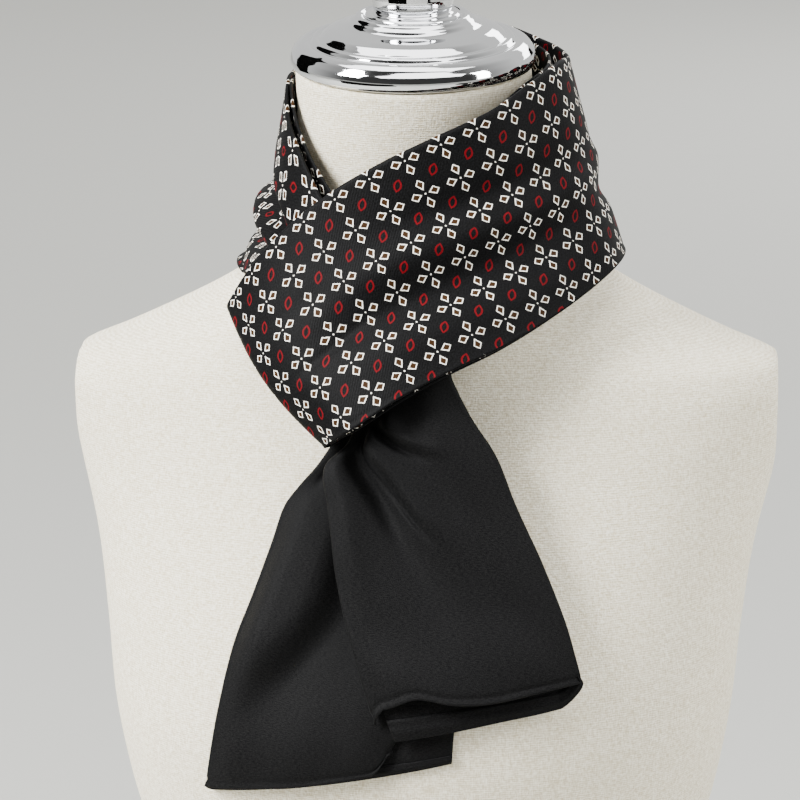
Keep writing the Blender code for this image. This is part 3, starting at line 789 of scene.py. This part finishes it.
def printedSatin():
    # soft polyester satin, screen printed: the ink lies in the cloth, so it keeps the cloth's gloss
    chart = printChart
    material, tree, shader = newMaterial("printed satin", **chart["finish"])
    cloth = addNode(tree, "ShaderNodeUVMap", uv_map="cloth").outputs[0]
    place = addNode(tree, "ShaderNodeSeparateXYZ", {0: cloth})
    wobble = addNoise(tree, cloth, chart["raggedScale"], 1.0)
    # the hem attribute marks the edge strips that stay black: partly hem thread, partly painted
    # shade
    hem = addNode(tree, "ShaderNodeAttribute", attribute_name="hem").outputs["Fac"]
    values = dict(u=place.outputs[0], v=place.outputs[1], wobble=wobble, hem=hem)
    along, across = chart["alongRepeat"], chart["acrossRepeat"]
    rise = chart["petalHalf"] / (chart["petalMiddle"] - chart["petalInner"])
    fall = chart["petalHalf"] / (chart["petalOuter"] - chart["petalMiddle"])
    ringLong = chart["ovalHalfLong"] - chart["ovalTipLine"]
    ringWide = chart["ovalHalfWide"] - chart["ovalLine"]
    # each row is a result's name, an operation and its operands: the place in the repeat, the
    # petals as a rise and a fall of their half width, the dot as a circle, and the oval as the
    # room between two pairs of parabolas
    for name, operation, *operands in (
        ("shift", "MULTIPLY_ADD", "wobble", chart["ragged"], -chart["ragged"] / 2),
        ("uWavy", "ADD", "u", "shift"),
        ("vWavy", "SUBTRACT", "v", "shift"),
        ("uRepeat", "DIVIDE", "uWavy", along),
        ("vRepeat", "DIVIDE", "vWavy", across),
        ("uCell", "ADD", "uRepeat", chart["cellShift"] - chart["alongPhase"]),
        ("vCell", "ADD", "vRepeat", chart["cellShift"] - chart["acrossPhase"]),
        ("uShare", "FRACT", "uCell"),
        ("vShare", "FRACT", "vCell"),
        ("x", "MULTIPLY_ADD", "uShare", along, -along / 2),
        ("y", "MULTIPLY_ADD", "vShare", across, -across / 2),
        ("xSize", "ABSOLUTE", "x"),
        ("ySize", "ABSOLUTE", "y"),
        ("reach", "MAXIMUM", "xSize", "ySize"),
        ("aside", "MINIMUM", "xSize", "ySize"),
        ("fromInner", "SUBTRACT", "reach", chart["petalInner"]),
        ("toOuter", "SUBTRACT", chart["petalOuter"], "reach"),
        ("rising", "MULTIPLY", "fromInner", rise),
        ("falling", "MULTIPLY", "toOuter", fall),
        ("half", "MINIMUM", "rising", "falling"),
        ("room", "SUBTRACT", "half", "aside"),
        ("petal", "GREATER_THAN", "room", 0.0),
        ("heart", "GREATER_THAN", "room", chart["petalBorder"]),
        ("xSquare", "MULTIPLY", "x", "x"),
        ("fromMiddle", "MULTIPLY_ADD", "y", "y", "xSquare"),
        ("dot", "LESS_THAN", "fromMiddle", chart["dotRadius"] ** 2),
        # no print on the edge strips, which stay black: partly hem thread, partly painted shade
        ("printed", "LESS_THAN", "hem", chart["threadAndShadeLimit"]),
        ("petalOrDot", "MAXIMUM", "petal", "dot"),
        ("ivory", "MULTIPLY", "petalOrDot", "printed"),
        ("heartPrinted", "MULTIPLY", "heart", "printed"),
        ("uOval", "ADD", "uCell", 0.5),
        ("vOval", "ADD", "vCell", 0.5),
        ("uOvalShare", "FRACT", "uOval"),
        ("vOvalShare", "FRACT", "vOval"),
        ("s", "MULTIPLY_ADD", "uOvalShare", along, -along / 2),
        ("t", "MULTIPLY_ADD", "vOvalShare", across, -across / 2),
        ("longPart", "MULTIPLY", "s", chart["ovalAlong"]),
        ("long", "MULTIPLY_ADD", "t", chart["ovalAcross"], "longPart"),
        ("widePart", "MULTIPLY", "s", -chart["ovalAcross"]),
        ("wideSigned", "MULTIPLY_ADD", "t", chart["ovalAlong"], "widePart"),
        ("wide", "ABSOLUTE", "wideSigned"),
        ("longOut", "DIVIDE", "long", chart["ovalHalfLong"]),
        ("longOutSquare", "MULTIPLY", "longOut", "longOut"),
        ("outerEdge", "MULTIPLY_ADD", "wide", 1 / chart["ovalHalfWide"], "longOutSquare"),
        ("longIn", "DIVIDE", "long", ringLong),
        ("longInSquare", "MULTIPLY", "longIn", "longIn"),
        ("innerEdge", "MULTIPLY_ADD", "wide", 1 / ringWide, "longInSquare"),
        ("inOval", "LESS_THAN", "outerEdge", 1.0),
        ("pastLine", "GREATER_THAN", "innerEdge", 1.0),
        ("line", "MULTIPLY", "inOval", "pastLine"),
        ("ring", "MULTIPLY", "line", "printed"),
    ):
        inputs = {
            i: values[part] if isinstance(part, str) else part for i, part in enumerate(operands)}
        values[name] = addNode(tree, "ShaderNodeMath", inputs, operation=operation).outputs[0]
    # the dyed ground is mottled with painted thread glints, lighter specks where threads would
    # catch the light, drawn coarser than they are to show
    grain = addNoise(tree, cloth, chart["grainScale"], 2.0)
    darkest, lightest = chart["grainRange"]
    glint = addNode(tree, "ShaderNodeMapRange", {0: grain, 1: darkest, 2: lightest, 3: 0.0, 4: 1.0})
    colour = linear(chart["ground"])
    for mask, hexColour in (
        (glint.outputs[0], chart["groundGlint"]),
        (values["ivory"], chart["ivory"]),
        (values["heartPrinted"], chart["brown"]),
        (values["ring"], chart["red"]),
    ):
        inputs = {"Factor": mask, 6: colour, 7: linear(hexColour)}
        colour = addNode(tree, "ShaderNodeMix", inputs, data_type="RGBA").outputs[2]
    tree.links.new(colour, shader.inputs["Base Color"])
    # satin floats: slanting ridges about 1.2 mm apart, drawn coarser than the real 0.2 mm
    weave = addNode(tree, "ShaderNodeTexWave", {
        "Vector": cloth, "Scale": chart["weaveScale"], "Distortion": 0.6, "Detail": 1.0,
    }, bands_direction="DIAGONAL")
    both = addNode(tree, "ShaderNodeMath", {0: weave.outputs["Fac"], 1: grain}, operation="ADD")
    addRelief(chart, tree, shader, both.outputs[0])
    return material


plainChart = dict(
    weftStretch=(2.2, 0.6, 1.0),  # grains are 0.5 mm along the scarf and 1.7 mm across it
    grainScale=2.0,
    toneRange=(0.78, 1.22),
    dark="#010102",
    light="#161616",
    relief=(0.4, 0.0004),
    finish=dict(Roughness=0.68, Specular_IOR_Level=0.07, Sheen_Weight=0.01, Sheen_Roughness=0.4),
)
linenChart = dict(
    # slubs of both thread directions, per metre along x, y and z: 0.6 mm thick, 2.5 mm long
    threadScales=((420.0, 420.0, 1700.0), (1600.0, 1600.0, 380.0)),
    ribScale=300.0,  # ribs about 1 mm apart
    ribShare=0.22,
    toneRange=(0.84, 1.38),
    dark="#d2c4a2",
    light="#fff9e6",
    relief=(0.6, 0.0005),
    finish=dict(Roughness=0.85, Specular_IOR_Level=0.2, Sheen_Weight=0.1, Sheen_Roughness=0.6),
)
chromeChart = dict(
    rippleScale=60.0,  # about 17 mm from ripple to ripple
    relief=(0.05, 0.0006),
    finish=dict(Metallic=1.0, Roughness=0.05, Base_Color=linear("#e4e5e7")),
)


def clothTone(chart, tree, shader, height):
    # the thread pattern's height runs the colour from dark to light and raises the surface
    darkest, lightest = chart["toneRange"]
    tone = addNode(tree, "ShaderNodeMapRange", {0: height, 1: darkest, 2: lightest, 3: 0.0, 4: 1.0})
    mix = addNode(tree, "ShaderNodeMix", {
        "Factor": tone.outputs[0], 6: linear(chart["dark"]), 7: linear(chart["light"]),
    }, data_type="RGBA")
    tree.links.new(mix.outputs[2], shader.inputs["Base Color"])
    addRelief(chart, tree, shader, height)


def plainSatin():
    # the same cloth dyed black: matt with a faint crosswise grain from the thicker weft
    chart = plainChart
    material, tree, shader = newMaterial("plain satin", **chart["finish"])
    cloth = addNode(tree, "ShaderNodeUVMap", uv_map="cloth").outputs[0]
    stretch = addNode(tree, "ShaderNodeMapping", {0: cloth, 3: chart["weftStretch"]})
    weft = addNoise(tree, stretch.outputs[0], 1.0, 3.0)
    grain = addNoise(tree, cloth, chart["grainScale"], 2.0)
    both = addNode(tree, "ShaderNodeMath", {0: weft, 1: grain}, operation="ADD")
    clothTone(chart, tree, shader, both.outputs[0])
    return material


def creamLinen():
    # undyed linen, plain woven: matt, with low ribs all round and slubs in both thread directions,
    # drawn about twice as coarse as the threads to show
    chart = linenChart
    material, tree, shader = newMaterial("cream linen", **chart["finish"])
    place = addNode(tree, "ShaderNodeTexCoord").outputs["Object"]
    threads = []
    for scale in chart["threadScales"]:
        stretch = addNode(tree, "ShaderNodeMapping", {0: place, 3: scale})
        threads.append(addNoise(tree, stretch.outputs[0], 1.0, 2.0))
    ribs = addNode(tree, "ShaderNodeTexWave", {
        "Vector": place, "Scale": chart["ribScale"], "Distortion": 2.0, "Detail": 1.0,
    }, bands_direction="Z").outputs["Fac"]
    slubs = addNode(tree, "ShaderNodeMath", {0: threads[0], 1: threads[1]}, operation="ADD")
    both = addNode(tree, "ShaderNodeMath", {
        0: ribs, 1: chart["ribShare"], 2: slubs.outputs[0]}, operation="MULTIPLY_ADD")
    clothTone(chart, tree, shader, both.outputs[0])
    return material


def polishedChrome():
    # chrome plate on spun steel: a mirror with very faint spinning ripples
    chart = chromeChart
    material, tree, shader = newMaterial("polished chrome plate", **chart["finish"])
    place = addNode(tree, "ShaderNodeTexCoord").outputs["Object"]
    addRelief(chart, tree, shader, addNoise(tree, place, chart["rippleScale"], 1.0))
    return material


printed, plain, linen, chrome = printedSatin(), plainSatin(), creamLinen(), polishedChrome()
print("materials made")

for name, points, material, node, slot in (
    ("linenForm", formSurface(), linen, "dress_form", "linen"),
    ("chromeCap", turnedSurface(cap["profile"]), chrome, "neck_cap", "cap_metal"),
    ("chromeKnob", turnedSurface(cap["knobProfile"]), chrome, "cap_knob", "cap_metal"),
):
    piece = gridPiece(name, points, material, closed=True)
    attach(piece, "root")
    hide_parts(node)
print("form and cap made")

plies = []
for name, ply in (("outerPly", outerPly), ("innerPly", innerPly)):
    grid, uv = foldedPly(ply)
    # edge strips left unprinted and black: partly hem thread, partly painted shade under the hem
    edgeThreadAndShade = hemThreadAndShade(grid, ply["threadAndShadeStrips"])
    plies.append(gridPiece(name, grid, printed, uv, wall=ply["wall"], threadAndShadeShare=edgeThreadAndShade))
outer, inner = plies
print("plies made")

tails = []
for name, tail in (("frontTail", tailRight), ("backTail", tailLeft)):
    grid, uv = tailSheet(tail)
    tails.append(gridPiece(name, grid, plain, uv, wall=tail["wall"]))
frontTail, backTail = tails
print("tails made")

for piece, nodes, slot in (
    (outer, ("front_band", "back_wrap", "left_arm"), "printed_satin"),
    (inner, ("under_band", "inner_wrap", "inner_arm"), "printed_satin"),
    (frontTail, ("tail_right",), "plain_satin"),
    (backTail, ("tail_left",), "plain_satin"),
):
    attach(piece, "root")
    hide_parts(*nodes)
print("sheets attached")

studio = dict(
    floorHalf=40.0,
    floorColour="#b7b7b2",
    roomColour=(1, 1, 0.98, 1),
    frontLight=0.05,  # of the room behind the camera
    backLight=0.9,
    lightTurns=(-0.5, 0.5),  # one becomes the other between these y of a unit direction
    sun=dict(towards=(-0.75, -0.45, 0.75), strength=3.8, angle=16),
    # name, place, aim, width, height, watts
    softboxes=(
        ("left softbox", (-1.7, -1.1, 1.7), (0, 0, 0.6), 0.9, 1.2, 125),
        ("right softbox", (1.8, -0.6, 1.4), (0, 0, 0.6), 0.5, 1.4, 46),
        ("top softbox", (0.0, -0.3, 2.4), (0, 0, 0.6), 1.3, 0.7, 30),
        ("floor wash", (2.6, 5.0, 3.0), (1.6, 5.0, 0), 2.6, 3.4, 210),
    ),
    # screens that only the chrome mirrors, round a point in the neck: azimuth and elevation in
    # degrees, distance, width, height, and brightness, which is 0 for a black one
    screensRound=(0, 0, 0.7),
    screenColour=(0.002, 0.002, 0.002, 1.0),
    screenGlow=(1.0, 1.0, 1.0, 1.0),
    screens=(
        (-120, 16, 1.6, 0.7, 1.8, 0.0),
        (-40, -24, 1.5, 1.5, 0.9, 0.0),
        (70, -28, 1.5, 1.2, 0.6, 0.0),
        (152, 10, 1.6, 0.22, 0.3, 0.0),
        (-14, 82, 1.6, 2.3, 0.9, 5.0),
        (12, 42, 1.7, 2.3, 0.62, 5.0),
    ),
)
cameraPlace = dict(
    place=(0.12394, -1.48527, 0.8646),
    pitch=-12.5356,
    yaw=5.243,
    focalPixels=3139.18,
    framePixels=800,
    sensorWidth=36,
)


def turnTo(way):
    # the turn that points a lamp's own -Z along a way
    return math.atan2(math.hypot(way[0], way[1]), -way[2]), 0, math.atan2(-way[0], way[1])


def inScene(name, data):
    # a named object for the data, put into the scene
    placed = bpy.data.objects.new(name, data)
    bpy.context.scene.collection.objects.link(placed)
    return placed


def flatPanel(name, corners, material):
    # one flat four-cornered face
    mesh = bpy.data.meshes.new(name)
    mesh.from_pydata([tuple(map(float, corner)) for corner in corners], [], [(0, 1, 2, 3)])
    mesh.materials.append(material)
    return inScene(name, mesh)


aroundPanel = ((-1, -1), (1, -1), (1, 1), (-1, 1))
half = studio["floorHalf"]
floorMaterial = newMaterial(
    "plain matt floor", Base_Color=linear(studio["floorColour"]), Roughness=0.9,
    Specular_IOR_Level=0.1)[0]
floor = flatPanel("floor", [(x * half, y * half, 0) for x, y in aroundPanel], floorMaterial)

world = bpy.data.worlds.new("soft studio")
bpy.context.scene.world = world
world.use_nodes = True
background = world.node_tree.nodes["Background"]
background.inputs[0].default_value = studio["roomColour"]
heading = addNode(world.node_tree, "ShaderNodeSeparateXYZ", {
    0: addNode(world.node_tree, "ShaderNodeTexCoord").outputs["Generated"]})
nearer, farther = studio["lightTurns"]
room = addNode(world.node_tree, "ShaderNodeMapRange", {
    0: heading.outputs[1], 1: nearer, 2: farther, 3: studio["frontLight"], 4: studio["backLight"]})
world.node_tree.links.new(room.outputs[0], background.inputs[1])

sunLight = bpy.data.lights.new("overhead window", "SUN")
sunLight.energy, sunLight.angle = studio["sun"]["strength"], math.radians(studio["sun"]["angle"])
inScene("overhead window", sunLight).rotation_euler = turnTo(-np.array(studio["sun"]["towards"]))

for name, place, aim, width, height, watts in studio["softboxes"]:
    light = bpy.data.lights.new(name, "AREA")
    light.shape = "RECTANGLE"
    light.size, light.size_y, light.energy = width, height, watts
    lamp = inScene(name, light)
    lamp.location = place
    lamp.rotation_euler = turnTo(np.array(aim) - np.array(place))

for azimuth, elevation, distance, width, height, brightness in studio["screens"]:
    a, e = math.radians(azimuth), math.radians(elevation)
    out = np.array((math.sin(a) * math.cos(e), -math.cos(a) * math.cos(e), math.sin(e)))
    side = np.array((math.cos(a), math.sin(a), 0.0))
    centre, rise = np.array(studio["screensRound"]) + out * distance, np.cross(side, out)
    corners = [centre + side * x * width / 2 + rise * y * height / 2 for x, y in aroundPanel]
    screenMaterial = newMaterial(
        "white silk screen" if brightness else "black felt screen",
        Base_Color=studio["screenColour"], Roughness=1.0, Specular_IOR_Level=0.0,
        Emission_Color=studio["screenGlow"], Emission_Strength=brightness)[0]
    screen = flatPanel("mirrored screen", corners, screenMaterial)
    screen.visible_camera = screen.visible_diffuse = screen.visible_shadow = False

lens = bpy.data.cameras.new("camera")
lens.sensor_width = cameraPlace["sensorWidth"]
lens.lens = cameraPlace["focalPixels"] / cameraPlace["framePixels"] * cameraPlace["sensorWidth"]
camera = inScene("camera", lens)
camera.location = cameraPlace["place"]
pitch, yaw = math.radians(90 + cameraPlace["pitch"]), math.radians(cameraPlace["yaw"])
camera.rotation_euler = (pitch, 0, yaw)
bpy.context.scene.camera = camera
print("studio made")
